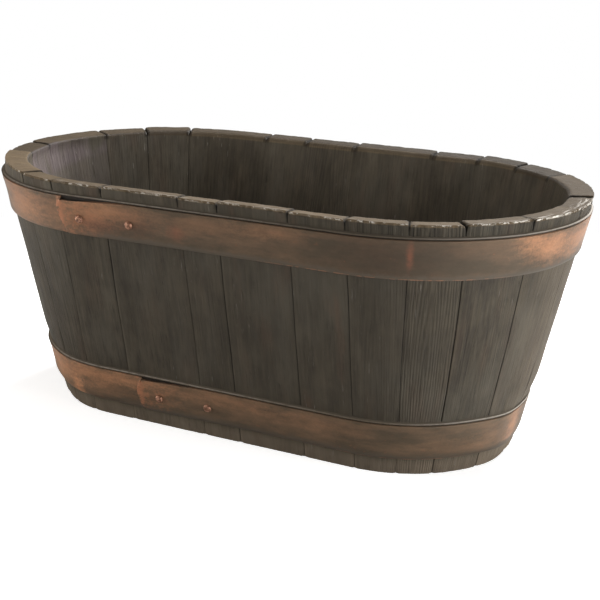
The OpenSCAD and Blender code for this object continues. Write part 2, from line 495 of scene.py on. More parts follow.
class Recipe:
    """The node tree of one finish."""

    def __init__(self, name: str) -> None:
        """Starts a material with a plain Principled shader."""
        self.material = bpy.data.materials.new(name)
        self.material.use_nodes = True
        self.tree = self.material.node_tree
        self.shader = next(n for n in self.tree.nodes if n.type == "BSDF_PRINCIPLED")

    def node(self, kind: str, settings: dict, inputs: dict, output: int | str = 0) -> Shade:
        """Adds a node.

        Args:
            kind: The node's type.
            settings: Its own settings, set first.
            inputs: A value or a link for each socket, by name or number.
            output: The socket that is wanted.

        Returns:
            The wanted output.
        """
        node = self.tree.nodes.new(kind)
        for name, value in settings.items():
            setattr(node, name, value)
        for name, value in inputs.items():
            self.feed(node.inputs[name], value)
        return Shade(self, node.outputs[output])

    def feed(self, socket: bpy.types.NodeSocket, value: Given) -> None:
        """Links a value to a socket, or sets it there."""
        if isinstance(value, Shade):
            self.tree.links.new(value.socket, socket)
        elif isinstance(value, tuple) and len(value) == 3 and socket.type == "RGBA":
            socket.default_value = (*value, 1.0)
        else:
            socket.default_value = value

    def flat(self) -> tuple[Shade, Shade, Shade, Shade]:
        """The piece's flat places: all three together, then along, into and up."""
        place = self.node("ShaderNodeAttribute", {"attribute_name": FLAT}, {}, "Vector")
        split = self.tree.nodes.new("ShaderNodeSeparateXYZ")
        self.feed(split.inputs[0], place)
        return (place, *(Shade(self, socket) for socket in split.outputs))

    def whole(self) -> Shade:
        """Places in the frame of the whole planter."""
        return self.node("ShaderNodeTexCoord", {}, {}, "Object")

    def noise(self, place: Shade, pattern: Pattern) -> Shade:
        """Cloudy noise of a pattern, from about 0 to 1."""
        drawn = {"Vector": place, "Scale": pattern.stretch, "Location": pattern.offset}
        inputs = {
            "Vector": self.node("ShaderNodeMapping", {}, drawn),
            "Scale": pattern.scale,
            "Detail": pattern.detail,
            "Roughness": pattern.rough,
        }
        return self.node("ShaderNodeTexNoise", {}, inputs)

    def mix(self, factor: Given, first: Given, second: Given) -> Shade:
        """Goes from one colour to another."""
        inputs = {"Factor": factor, 6: first, 7: second}
        return self.node("ShaderNodeMix", {"data_type": "RGBA"}, inputs, 2)

    def shaded(self, colour: Given, factor: Shade) -> Shade:
        """A colour darkened or lightened by a value."""
        grey = self.node("ShaderNodeCombineXYZ", {}, {0: factor, 1: factor, 2: factor})
        return self.node("ShaderNodeVectorMath", {"operation": "MULTIPLY"}, {0: colour, 1: grey})

    def bump(self, height: Shade, distance: float, strength: float) -> Shade:
        """A bump of a height in metres."""
        inputs = {"Height": height, "Distance": distance, "Strength": strength}
        return self.node("ShaderNodeBump", {}, inputs)

    def finish(
        self,
        colour: Given,
        rough: Given,
        metallic: Given = 0.0,
        normal: Shade | None = None,
        specular: float = 0.5,
    ) -> bpy.types.Material:
        """Feeds the shader.

        Args:
            colour: Its base colour.
            rough: Its roughness.
            metallic: How metallic it is.
            normal: The bumped normal, if there is one.
            specular: Its specular level, the same all over.

        Returns:
            The finished material.
        """
        self.feed(self.shader.inputs["Base Color"], colour)
        self.feed(self.shader.inputs["Roughness"], rough)
        self.feed(self.shader.inputs["Metallic"], metallic)
        self.shader.inputs["Specular IOR Level"].default_value = specular
        if normal is not None:
            self.feed(self.shader.inputs["Normal"], normal)
        return self.material


def srgb(red: int, green: int, blue: int) -> Colour:
    """A colour as it shows on a screen, made linear."""
    return tuple(((c / 255 + 0.055) / 1.055) ** 2.4 for c in (red, green, blue))


STREAKS = Pattern(300, 4, 0.6, (1, 1, 0.06))
FINE_LINES = Pattern(1000, 3, 0.7, (1, 1, 0.05))
DASHES = Pattern(700, 2, 0.6, (1, 1, 0.06), (1, 0, 0))
PATCHES = Pattern(17, 4, 0.55, (1, 1, 0.5), (7, 0, 0))
BLOTS = Pattern(52, 4, 0.65, (1, 1, 0.55), (4, 4, 0))
TINTS = Pattern(40, 3, 0.55, (1, 1, 0.25), (3, 5, 0))
COMB_TEETH = Pattern(620, 1, 0.55, (1, 1, 0.01), (4, 0, 0))
WEATHERING = Pattern(420, 3, 0.65, (0.12, 1, 1), (2, 7, 0))
RING_WANDER = Pattern(60, 2, 0.55, (1, 1, 0.12), (2, 0, 0))
SCRATCHES = Pattern(620, 2, 0.6, (1, 1, 0.09), (6, 2, 0))
SCRATCH_CLUSTERS = Pattern(34, 2, 0.55, (1, 1, 0.6), (8, 3, 0))
SCUFF_AND_HIGHLIGHT_BREAKS = Pattern(560, 3, 0.65, (0.5, 1, 1))
SCUFF_AND_HIGHLIGHT_SPREAD = Pattern(70, 2, 0.55, (0.4, 1, 1), (3, 0, 0))
DUST_SCRATCHES = Pattern(330, 3, 0.6, (1, 1, 0.07), (9, 0, 0))
DUST_BLOOM = Pattern(22, 3, 0.55, (1, 1, 0.7), (5, 0, 0))
COLLAR_SPAN: Span = (0.230, 0.232)


@dataclass(frozen=True)
class Spot:
    """Where a point lies on a board, and how the grain runs there."""

    place: Shade
    along: Shade
    into: Shade
    up: Shade
    below: Shade
    left: Shade
    right: Shade
    in_rim: Shade
    level: Shade
    upright: Shade
    inside: Shade
    face: Shade
    streak: Shade
    lines: Shade
    dashes: Shade
    patch: Shade
    blot: Shade


@dataclass(frozen=True)
class BoardFinish:
    """Weathered dark board: streaks and growth lines along it, worn rim, dirt in its seams.

    A span holds the place in metres where a change starts, and the place where it is whole.
    """

    name: str
    start: float
    width: float
    thickness: float
    top: float
    light: float
    warm: float
    chalky: float
    comb: float
    dusty: float
    figure: Figure
    ring_foot: float
    seams: tuple[Place, ...]
    inner_seams: tuple[float, ...]
    top_seams: tuple[float, ...]
    top_painted_light: float
    bevel_painted_shade: float
    collar: float
    edge: float
    contrast: float
    deep: Colour = srgb(69, 63, 54)
    brown: Colour = srgb(83, 76, 64)
    grey: Colour = srgb(87, 82, 72)
    rust: Colour = srgb(90, 73, 60)
    worn: Colour = srgb(118, 99, 74)
    chalk: Colour = srgb(222, 216, 206)
    dust: Colour = srgb(98, 87, 88)
    # Earth colour: soil at the foot, and painted light on the right end.
    earth: Colour = srgb(142, 127, 109)
    cloud_depth: float = 0.24
    fine_depth: float = 0.20
    dash_depth: float = 0.15
    ring_depth: float = 0.24
    hollow_painted_shade: float = 0.35
    seam_depth: float = 0.55
    top_seam_depth: float = 0.65
    comb_depth: float = 0.45
    # How strongly dirt and painted shade darken the rim notches.
    notch_depth: float = 0.55
    painted_glint_light: float = 0.20
    inside_painted_light: float = 0.38
    relief_height: float = 0.0006
    carved_span: Span = (0.0003, 0.0013)
    seam_span: Span = (0.0009, 0.0001)
    top_seam_span: Span = (0.0015, 0.0004)
    painted_glint_spans: tuple[Span, Span] = ((0.0028, 0.0018), (0.0006, 0.0012))
    comb_spans: tuple[Span, Span] = ((0.0145, 0.0120), (0.0014, 0.0008))
    level_spans: tuple[Span, Span] = ((0.0034, 0.0024), (0.0002, 0.0010))
    scuff_and_highlight_spans: tuple[Span, Span] = ((0.0013, 0.0008), (0.0026, 0.0018))
    weathered_span: Span = (0.016, 0.004)
    soil_span: Span = (0.022, 0.008)
    painted_end_light_spans: tuple[Span, Span] = ((0.42, 0.54), (0.75, 0.62))
    painted_end_light_below: Span = (0.03, 0.05)
    painted_shadow_edge_slope: float = 0.14
    ring_gap: float = 0.0025
    inner_face: Span = (0.004, 0.003)
    inner_worn: float = 0.0012
    rounding_span: Span = (0.0030, 0.0010)
    notch_side: Span = (0.0046, 0.0026)
    notch_below: tuple[Span, Span] = ((0.0008, 0.0022), (0.009, 0.006))
    notch_into: Span = (0.0006, 0.0018)
    bright_below: Span = (0.030, 0.010)

    def make(self) -> bpy.types.Material:
        """Builds the material."""
        r = Recipe(self.name)
        at = self.spot(r)
        rings, comb = self.rings(r, at), r.noise(at.place, COMB_TEETH)
        shade = self.grain_shade(at, rings) * self.seam_shade(at) * self.rim_shade(at, comb)
        wood = self.marked(r, at, r.shaded(self.coloured(r, at), shade * self.light))
        relief = at.lines * 0.4 + at.streak * 0.3 + at.blot * 0.5
        relief = relief - 0.3 * at.dashes.within(0.56, 0.66)
        relief = relief - self.figure.value * 0.6 * rings - self.comb * at.face * comb
        rough = 0.6 + 0.2 * at.streak + 0.2 * at.level
        normal = r.bump(relief, self.relief_height, 0.8)
        return r.finish(wood, rough, normal=normal, specular=0.2)

    def spot(self, r: Recipe) -> Spot:
        """Works out the places and the grain that every part of the finish reads."""
        place, along, into, up = r.flat()
        below = self.top - up
        rim_below, rim_into = self.level_spans
        inner = self.thickness - self.edge
        in_rim = into.within(inner + self.inner_worn, inner)
        level = below.within(*rim_below) * into.within(*rim_into) * in_rim
        upright = 1 - level
        comb_below, comb_into = self.comb_spans
        inner_face = (self.thickness - depth for depth in self.inner_face)
        grain = (r.noise(place, p) for p in (STREAKS, FINE_LINES, DASHES, PATCHES, BLOTS))
        return Spot(
            place, along, into, up, below,
            along - self.start, self.start + self.width - along,
            in_rim, level, upright,
            into.within(*inner_face) * upright,
            below.within(*comb_below) * into.within(*comb_into),
            *grain,
        )

    def coloured(self, r: Recipe, at: Spot) -> Shade:
        """The board's colours before they are shaded: wood, worn rim, soil, painted light on the
        right end, and dust.
        """
        spread = 0.14 / self.contrast
        mixed = (at.streak * 0.5 + at.blot * 0.5).within(0.5 - spread, 0.5 + spread)
        wood = r.mix(mixed, self.deep, self.brown)
        wood = r.mix(at.patch.within(0.45, 0.66) * 0.55, wood, self.grey)
        tint = r.noise(at.place, TINTS)
        wood = r.mix(tint.within(0.5, 0.72) * self.warm * 0.4, wood, self.rust)
        wood = r.mix(0.4 * self.rounding(at), wood, self.worn)
        wood = r.mix(at.level * (0.5 + 0.4 * at.blot), wood, self.worn)
        wood = r.mix(at.up.within(*self.soil_span) * (0.30 + 0.3 * at.blot), wood, self.earth)
        # Painted light: the right end's outer face is painted lighter, in the earth colour.
        painted_end_light = at.along.between(*self.painted_end_light_spans) * (1 - at.inside) * at.upright
        painted_end_light = painted_end_light * at.below.within(*self.painted_end_light_below)
        wood = r.mix(painted_end_light * (0.22 + 0.16 * at.streak), wood, self.earth)
        return r.mix(self.dust_and_painted_light(r, at), wood, self.dust)

    def grain_shade(self, at: Spot, rings: Shade) -> Shade:
        """How the grain darkens the board, with painted shade in the carved hollows."""
        deep, fine = self.cloud_depth * self.contrast, self.fine_depth * self.contrast
        shade = (1 + deep * (at.patch - 0.5)) * (1 + fine * (at.blot - 0.5))
        shade = shade * (1 + fine * (at.lines - 0.5))
        dashes = at.dashes.within(0.57, 0.66) * at.upright
        shade = shade * (1 - self.dash_depth * self.contrast * dashes)
        shade = shade * (1 - self.ring_depth * self.figure.value * rings.within(0.45, 1.0))
        carved = at.into.least(self.thickness - at.into)
        # Painted shade in the carved hollows.
        return shade * (1.05 - self.hollow_painted_shade * carved.within(*self.carved_span))

    def seam_shade(self, at: Spot) -> Shade:
        """How the seams darken the board's edges, with a painted highlight beside the left one.
        """
        # A painted highlight beside the left seam.
        painted_glint = at.left.between(*self.painted_glint_spans) * (1 - at.inside)
        shade = 1 + self.painted_glint_light * self.seams[0][1] * painted_glint
        rim, rise = at.up.within(*COLLAR_SPAN), (at.up / COLLAR_SPAN[0]).least(1.0)
        sides = zip((at.left, at.right), self.seams, self.inner_seams, self.top_seams)
        for side, (brow, head, foot), inner, crown in sides:
            dark = foot + (head - foot) * rise
            dark = dark + (brow - dark) * rim
            dark = dark + (inner - dark) * at.inside
            groove = side.within(*self.seam_span) * at.upright
            shade = shade * (1 - self.seam_depth * dark * groove)
            groove = side.within(*self.top_seam_span) * at.level
            shade = shade * (1 - self.top_seam_depth * crown * groove)
        return shade

    def rim_shade(self, at: Spot, comb: Shade) -> Shade:
        """How light or dark the inside, the worn edge, the combed collar and the top are: painted
        light inside, painted shade on the worn edge, and painted light and shade on the top.
        """
        # Painted light: the inside face is painted lighter.
        shade = 1 + self.inside_painted_light * at.inside
        # Painted shade on the worn inner rim edge.
        shade = shade * (1 + (self.bevel_painted_shade - 1) * self.rounding(at))
        teeth = at.face * comb.within(0.50, 0.60)
        shade = shade * (1 - self.comb_depth * self.comb * teeth)
        shade = shade * (1 + (self.collar - 1) * at.face * at.upright)
        # Painted light and shade on the rim top.
        return shade * (1 + (self.top_painted_light - 1) * at.level)

    def rounding(self, at: Spot) -> Shade:
        """The worn round along the rim's inner edge."""
        low, high = (self.edge + step for step in self.rounding_span)
        return at.below.within(low, high) * (1 - at.in_rim)

    def marked(self, r: Recipe, at: Spot, wood: Shade) -> Shade:
        """Adds the marks that lie over the shaded wood: chalky wear, scratches, and dirt and
        painted shade in the rim notches.

        Args:
            r: The recipe.
            at: The places on the board.
            wood: The shaded wood.

        Returns:
            The board's colour.
        """
        weathered = r.noise(at.place, WEATHERING).within(0.50, 0.62)
        weathered = weathered * at.into.within(*self.weathered_span) * at.level
        wood = r.mix(weathered * (self.chalky - 0.3) * 0.7, wood, self.chalk)
        # Scuffs and a painted highlight along the rim's outer edge.
        wood = r.mix(self.scuffs_and_painted_highlight(r, at), wood, self.chalk)
        bright = 0.10 + 0.12 * at.inside
        bright = bright + 0.6 * self.dusty * at.inside * at.below.within(*self.bright_below)
        wood = r.mix(self.nicked(r, at) * bright, wood, self.chalk)
        # Dirt and painted shade in the notches at the rim's seams.
        notch = at.left.least(at.right).within(*self.notch_side)
        notch = notch * at.below.between(*self.notch_below) * at.into.within(*self.notch_into)
        return r.shaded(wood, 1 - self.notch_depth * notch)

    def rings(self, r: Recipe, at: Spot) -> Shade:
        """Growth rings that arch about the middle of the board."""
        aside = at.along - (self.start + self.width * 0.45)
        rise = (at.up - self.ring_foot) * 0.06
        wander = r.noise(at.place, RING_WANDER) * 0.006
        reach = (aside * aside + rise * rise).root() + wander
        return reach.rings(self.ring_gap) * at.upright

    def nicked(self, r: Recipe, at: Spot) -> Shade:
        """A few short pale scratches along the grain, in clusters."""
        scratch, cluster = r.noise(at.place, SCRATCHES), r.noise(at.place, SCRATCH_CLUSTERS)
        return scratch.within(0.66, 0.74) * cluster.within(0.52, 0.66)

    def scuffs_and_painted_highlight(self, r: Recipe, at: Spot) -> Shade:
        """Pale broken line along the rim's outer edge, longer on a chalky board: partly scuffs,
        partly a painted highlight on the edge.
        """
        into, below = self.scuff_and_highlight_spans
        edge = at.into.within(*into) * at.below.within(*below)
        less, far_less = 0.12 * self.chalky, 0.2 * self.chalky
        broken = r.noise(at.place, SCUFF_AND_HIGHLIGHT_BREAKS).within(0.56 - less, 0.62 - less)
        spread = r.noise(at.place, SCUFF_AND_HIGHLIGHT_SPREAD).within(0.48 - far_less, 0.56 - far_less)
        return edge * broken * spread * (0.4 + 0.6 * self.chalky)

    def dust_and_painted_light(self, r: Recipe, at: Spot) -> Shade:
        """Dry bloom and scratches on the inside face of a few boards, with painted light above a
        slanting line that stands for a shadow's edge; below it they show at a quarter.
        """
        inside = at.into.within(self.thickness - 0.003, self.thickness - 0.0015)
        scratch, bloom = r.noise(at.place, DUST_SCRATCHES), r.noise(at.place, DUST_BLOOM)
        # Painted light above a slanting line that stands for a shadow's edge.
        above = (at.up - 0.2227 + (at.along - 1.240) * self.painted_shadow_edge_slope).within(-0.004, 0.008)
        amount = bloom.within(0.30, 0.56) * 0.7 + scratch.within(0.58, 0.68) * 0.5
        return inside * amount * (0.25 + 0.75 * above) * self.dusty


class Paint(Enum):
    """Colour of one place on a hoop, by its name in the hoop's finish: rubbed paint with painted
    highlight, red paint, or painted shade.
    """

    RUBBED_AND_HIGHLIT = "bright"
    RED = "red"
    DARK = "shadow"


@dataclass(frozen=True)
class Rub:
    """One place where a hoop's paint is rubbed bright with a painted highlight, has gone red, or
    is darkened with painted shade.
    """

    along: float
    up: float
    width: float
    height: float
    strength: float
    paint: Paint = Paint.RUBBED_AND_HIGHLIT


PAINT_PATTERNS = (
    Pattern(15, 4, 0.6, (1, 1, 1.8)),
    Pattern(30, 3, 0.6, (1, 1, 4)),
    Pattern(170, 4, 0.65, (1, 1, 1.5)),
    Pattern(380, 3, 0.6, (0.25, 0.25, 1)),
    Pattern(420, 3, 0.7, (1, 1, 1.3)),
    Pattern(300, 3, 0.6, (1, 1, 0.05)),
)


@dataclass(frozen=True)
class Band:
    """Where a point lies on a hoop, and how the paint was laid there."""

    along: Shade
    into: Shade
    up: Shade
    end: Shade
    cloud: Shade
    smear: Shade
    speck: Shade
    brush: Shade
    fine: Shade
    grain: Shade


@dataclass(frozen=True)
class HoopFinish:
    """Copper paint rubbed over dark, with painted highlights and shade, a bare lip, a dark groove
    and a fading lower edge.
    """

    name: str
    foot: float
    head: float
    lip: float
    lap: float
    fade: float
    rubs: tuple[Rub, ...]
    wedge: float
    wedge_length: float
    light: float
    patina: Colour = srgb(80, 69, 55)
    copper: Colour = srgb(108, 87, 68)
    # Rubbed copper, partly a painted highlight.
    bright: Colour = srgb(214, 151, 108)
    shadow: Colour = srgb(64, 52, 42)
    red: Colour = srgb(140, 88, 66)
    wood: Colour = srgb(84, 75, 63)
    pale: Colour = srgb(205, 196, 184)
    # Painted shade for the groove under the lip.
    dark: Colour = srgb(40, 34, 29)
    # Painted highlight on the lap's free end and along the lower sill.
    edge: Colour = srgb(176, 118, 86)
    head_span: Span = (-0.014, -0.004)
    free_end: float = 0.006
    bare_span: Span = (0.0004, 0.0010)
    painted_flare_light_span: Span = (-0.0010, -0.0022)
    painted_crease_shade_span: Span = (-0.0009, -0.0002)
    groove_shade_span: Span = (0.0003, 0.0005)
    sill_highlight_span: Span = (0.0012, 0.0006)
    lap_spans: tuple[Span, Span] = ((-0.0005, 0.0005), (0.060, 0.010))
    lap_rim: Span = (0.010, 0.004)
    lap_out: Span = (-0.0045, -0.0050)
    relief_height: float = 0.0006
    faded_from: tuple[Span, Span] = ((-0.02, 0.05), (-0.40, -0.55))
    faded_painted_shade: Span = (0.36, 0.45)
    sill_highlight_spans: tuple[Span, Span] = ((0.15, 0.25), (0.44, 0.36))
    pale_right: tuple[Span, Span] = ((0.28, 0.46), (0.70, 0.60))
    pale_left: tuple[Span, Span] = ((-0.16, -0.06), (0.32, 0.04))

    def make(self) -> bpy.types.Material:
        """Builds the material."""
        r = Recipe(self.name)
        _, along, into, up = r.flat()
        whole, offset = r.whole(), (self.foot * 90, 0, 0)
        patterns = (r.noise(whole, replace(p, offset=offset)) for p in PAINT_PATTERNS)
        at = Band(along, into, up, along - self.lap, *patterns)
        paint = self.lap_edge_highlight(r, at, self.painted(r, at))
        low = (up + 0.006 * (at.speck - 0.5)).within(self.foot + self.fade, self.foot + 0.001)
        right, left = self.faded_from
        low = low * along.within(*right).most(along.within(*left))
        paint = self.faded(r, at, paint, low)
        bare = up.within(*(self.head + step for step in self.bare_span))
        paint = r.mix(bare, paint, self.bare_lip(r, at))
        # Painted shade in the groove under the lip.
        paint = r.mix(self.groove(at), paint, self.dark)
        relief = at.brush * 0.3 + at.speck * 0.5 + at.smear * 0.4
        normal = r.bump(relief, self.relief_height, 0.5)
        rough = 0.45 + 0.2 * at.speck + 0.2 * bare
        return r.finish(paint, rough, 0.25 * (1 - bare) * (1 - low), normal, 0.35)

    def painted(self, r: Recipe, at: Band) -> Shade:
        """The paint with its rubbed places, painted highlights and painted shade, before the lap
        and the lower edge.
        """
        clouds = (at.cloud * 0.6 + at.smear * 0.4).within(0.38, 0.66)
        paint = r.mix(clouds, self.patina, self.copper)
        low, high = (self.head + step for step in self.head_span)
        above = at.up.within(low, high) * at.smear.within(0.3, 0.6)
        paint = r.mix(above * 0.5, paint, self.copper)
        ragged = (at.speck - 0.5) * 0.8 + (at.smear - 0.5) * 1.0 + (at.fine - 0.5) * 0.7
        for rub in self.rubs:
            across, rise = (at.along - rub.along) / rub.width, (at.up - rub.up) / rub.height
            worn = (1 - (across * across + rise * rise).root() + ragged).within(-0.35, 1.25)
            paint = r.mix(worn * rub.strength, paint, getattr(self, rub.paint.value))
        paint = r.mix(at.speck.within(0.62, 0.76) * 0.35, paint, self.red)
        return r.shaded(paint, (0.90 + 0.20 * at.brush) * (0.88 + 0.24 * at.fine) * self.light)

    def lap_edge_highlight(self, r: Recipe, at: Band, paint: Shade) -> Shade:
        """Paints a highlight where the lap's free end stands out of the band."""
        lap_edge_highlight = at.end.between(*self.lap_spans)
        paint = r.mix(lap_edge_highlight * at.speck.within(0.46, 0.62) * 0.4, paint, self.edge)
        rim = at.end.within(*self.lap_rim) * lap_edge_highlight * at.speck.within(0.35, 0.5)
        return r.mix(rim * at.into.within(*self.lap_out) * 0.8, paint, self.edge)

    def faded(self, r: Recipe, at: Band, paint: Shade, low: Shade) -> Shade:
        """Lets the paint fade into the wood at the lower edge, above a thin painted highlight
        along the sill, with painted shade on the faded edge round the right end.

        Args:
            r: The recipe.
            at: The places on the hoop.
            paint: The paint so far.
            low: How far it has faded at each place.

        Returns:
            The faded paint.
        """
        paint = r.mix(low * 0.9, paint, self.wood)
        # Painted shade on the faded edge round the right end.
        paint = r.shaded(paint, 1 - 0.10 * low * at.along.within(*self.faded_painted_shade))
        # A thin painted highlight along the sill.
        sill = at.up.within(*(self.foot + step for step in self.sill_highlight_span))
        sill = sill * at.along.between(*self.sill_highlight_spans) * at.speck.within(0.42, 0.56)
        return r.mix(sill * 0.35, paint, self.edge)

    def bare_lip(self, r: Recipe, at: Band) -> Shade:
        """The wooden lip above the groove, chalky on the left and the right of the front, with
        painted light on it and painted shade in its crease.
        """
        painted_flare_light, painted_crease_shade = at.into.within(*self.painted_flare_light_span), at.into.within(*self.painted_crease_shade_span)
        shade = 0.9 + 0.2 * at.grain
        # Painted light on the whole lip, strongest on its outer bulge, and painted shade in the
        # crease where it meets the boards.
        shade = shade * (1.25 + (0.4 + 0.7 * at.fine.within(0.35, 0.60)) * painted_flare_light)
        lip = r.shaded(self.wood, shade * (1 - 0.35 * painted_crease_shade) * self.light)
        right = at.along.between(*self.pale_right) * (1 - painted_crease_shade)
        lip = r.mix(right * (0.30 + 0.50 * at.speck.within(0.25, 0.50)), lip, self.pale)
        left = at.along.between(*self.pale_left) * (1 - painted_crease_shade)
        return r.mix(left * (0.14 + 0.26 * at.speck.within(0.35, 0.55)), lip, self.pale)

    def groove(self, at: Band) -> Shade:
        """Painted shade in the groove under the lip, and in the wedge that opens above the lap's
        free end.
        """
        reach = (1 - (at.end - self.free_end) / self.wedge_length).within(0, 1)
        opening = reach * at.end.within(self.free_end, self.free_end + 0.0004)
        bound = at.up - self.head + 0.0006 + opening * self.wedge
        under_lip = at.up.within(self.lip + 0.0001, self.lip - 0.0003)
        return bound.within(*self.groove_shade_span) * under_lip


@dataclass(frozen=True)
class RivetFinish:
    """Hammered copper-painted rivet head."""

    name: str = "rivet_paint"
    dull: Colour = srgb(112, 78, 60)
    bright: Colour = srgb(190, 142, 116)
    hammered: Pattern = Pattern(400, 4, 0.7)

    def make(self) -> bpy.types.Material:
        """Builds the material."""
        r = Recipe(self.name)
        speck = r.noise(r.whole(), self.hammered)
        paint = r.mix(speck.within(0.42, 0.62), self.dull, self.bright)
        return r.finish(paint, 0.38 + 0.2 * speck, 0.45, r.bump(speck, 0.0006, 0.6), 0.4)


@dataclass(frozen=True)
class PanelFinish:
    """Dark base panel with a dusting of dried soil in its grain."""

    name: str = "panel_board"
    dark: Colour = srgb(46, 40, 35)
    dust: Colour = srgb(92, 78, 62)
    grained: Pattern = Pattern(260, 4, 0.6, (0.03, 1, 1))
    soiled: Pattern = Pattern(24, 5, 0.65)

    def make(self) -> bpy.types.Material:
        """Builds the material."""
        r = Recipe(self.name)
        place = r.whole()
        grain, soil = r.noise(place, self.grained), r.noise(place, self.soiled)
        wood = r.mix(grain.within(0.35, 0.65) * 0.6, self.dark, self.dust)
        wood = r.mix(soil.within(0.5, 0.68) * 0.7, wood, self.dust)
        normal = r.bump(grain * 0.5 + soil * 0.5, 0.001, 0.6)
        return r.finish(wood, 0.75 + 0.2 * soil, normal=normal)


# ---------------------------------------------------------------- pieces


BOARD_COUNT = 24
FIGURES = {
    2: Figure.QUIET, 5: Figure.QUIET, 6: Figure.BOLD, 7: Figure.QUIET, 10: Figure.BOLD,
    13: Figure.QUIET, 15: Figure.BOLD, 19: Figure.QUIET, 23: Figure.QUIET,
}
OPEN_SEAM = (1.0, 0.7, 0.5)
SEAM_DARKNESS = {
    20: (0.5, 0.5, 0.5), 21: (0.4, 0.4, 0.4), 22: (0.4, 0.3, 0.3), 23: (1.0, 0.2, 0.45),
    24: (1.0, 1.0, 0.1), 1: (0.6, 0.35, 0.2), 2: (1.0, 0.6, 0.8), 3: (0.8, 0.5, 0.4),
    4: (0.8, 0.7, 0.35), 5: (0.4, 0.4, 0.3), 6: (1.0, 1.0, 1.0), 7: (1.0, 1.0, 1.0),
    8: (0.25, 0.2, 0.2),
}
TOP_SEAMS = {8: 1.0, 9: 0.8, 20: 1.0, 21: 1.0, 22: 0.8, 23: 0.4}
INNER_SEAMS = {17: 0.5, 18: 1.0, 19: 1.0, 20: 0.6, 21: 0.5, 8: 0.25}
NOTCH_SIZES = {
    23: 0.25, 24: 1.0, 1: 0.5, 2: 0.9, 3: 0.45, 4: 0.85, 5: 0.55, 6: 1.15, 7: 1.0, 8: 0.7,
    9: 0.6, 17: 0.9, 18: 0.8, 19: 0.8, 20: 0.5, 21: 0.4, 22: 0.4,
}
SEAM_BOWS = {6: 0.0045, 7: 0.0028, 23: 0.0015, 2: -0.0012}
CHALKY_BOARDS = {
    24: 0.5, 1: 0.55, 2: 0.55, 3: 0.5, 4: 0.40, 5: 0.36, 6: 0.36, 7: 0.65, 8: 0.9, 9: 1.0,
}
WARM_BOARDS = {3: 1.3, 4: 1.6, 24: 1.0}
CONTRASTS = {
    22: 1.3, 23: 1.3, 24: 1.15, 1: 0.85, 2: 0.7, 3: 0.65, 4: 0.6, 5: 0.6, 6: 0.9, 7: 1.3,
    8: 1.2, 9: 1.2,
}
# Painted light and shade on each listed board's rim top: above 1 is lighter, below 1 darker.
TOP_PAINTED_LIGHT = {
    1: 1.1, 2: 1.2, 3: 1.2, 4: 1.2, 5: 1.2, 6: 1.1, 8: 0.88, 9: 0.74, 10: 0.72, 11: 0.45,
    12: 0.38, 13: 0.4, 14: 0.42, 15: 0.45, 16: 0.5, 17: 0.6, 18: 0.62, 19: 0.7, 20: 0.75,
    21: 0.6, 22: 1.35, 23: 1.1,
}
# Painted shade on the worn inner rim edge of each listed board: below 1 is darker.
BEVEL_PAINTED_SHADE = {
    7: 0.8, 8: 0.6, 9: 0.6, 10: 0.5, 11: 0.6, 18: 0.6, 19: 0.55, 20: 0.5, 21: 0.4, 22: 0.35,
    23: 0.5,
}
COLLARS = {22: 1.4, 23: 1.4, 24: 1.35, 1: 1.3, 2: 1.25, 3: 1.15, 7: 0.9}
SHARP_EDGES = {
    19: 0.0030, 20: 0.0020, 21: 0.0020, 22: 0.0020, 23: 0.0030, 8: 0.0030, 9: 0.0025,
    10: 0.0030,
}
COMBED_BOARDS = {5: 0.7, 6: 1.0, 7: 0.8, 8: 0.5, 4: 0.4}
DUSTY_BOARDS = {20: 1.0, 21: 0.8}

SOFT = {"noise_scale": 1.0, "noise_depth": 2}
HARD = {"noise_scale": 1.0, "noise_type": "HARD_NOISE", "noise_depth": 2}
FACE_CARVINGS = (
    Carving(0.0008, (0.020, 0.03, 0.045), SOFT),
    Carving(0.0005, (0.0026, 0.02, 0.05), HARD),
    Carving(0.0007, (0.0075, 0.02, 0.06), HARD, stops=((0.0, 0.0), (0.06, 1.0))),
)
TOP_CARVINGS = (
    Carving(0.0008, (0.010, 0.006, 0.01), SOFT, "Z"),
    Carving(0.0005, (0.03, 0.0026, 0.01), HARD, "Z"),
)
CHIPS = Carving(0.0009, (0.005, 0.004, 0.004), SOFT, stops=((0.32, 0.0), (0.46, 1.0)))
BEATEN = Carving(0.0007, (0.022, 0.022, 0.014), {"noise_scale": 1.0, "noise_depth": 1})


def seam_darkness(seam: int, up: np.ndarray) -> np.ndarray:
    """How open a seam is at each height: on the rim, and over the wall below it."""
    rim, head, foot = SEAM_DARKNESS.get(seam, OPEN_SEAM)
    return np.interp(up, (0, *COLLAR_SPAN), (foot, head, rim))


def seam_bow(seam: int, height: np.ndarray) -> np.ndarray:
    """How far a seam stands to the right of its straight line.

    Args:
        seam: The seam's number.
        height: Shares of the wall's height.

    Returns:
        The distance at each height, none at the foot and the rim.
    """
    random = np.random.default_rng(100 + seam)
    bow = SEAM_BOWS.get(seam, float(random.uniform(-0.0008, 0.0008)))
    ripple, phase = random.uniform(0.0002, 0.0005), random.uniform(0, 6)
    inside = np.sin(np.pi * np.clip(height, 0, 1))
    return inside * (bow + ripple * np.sin(9 * height + phase))


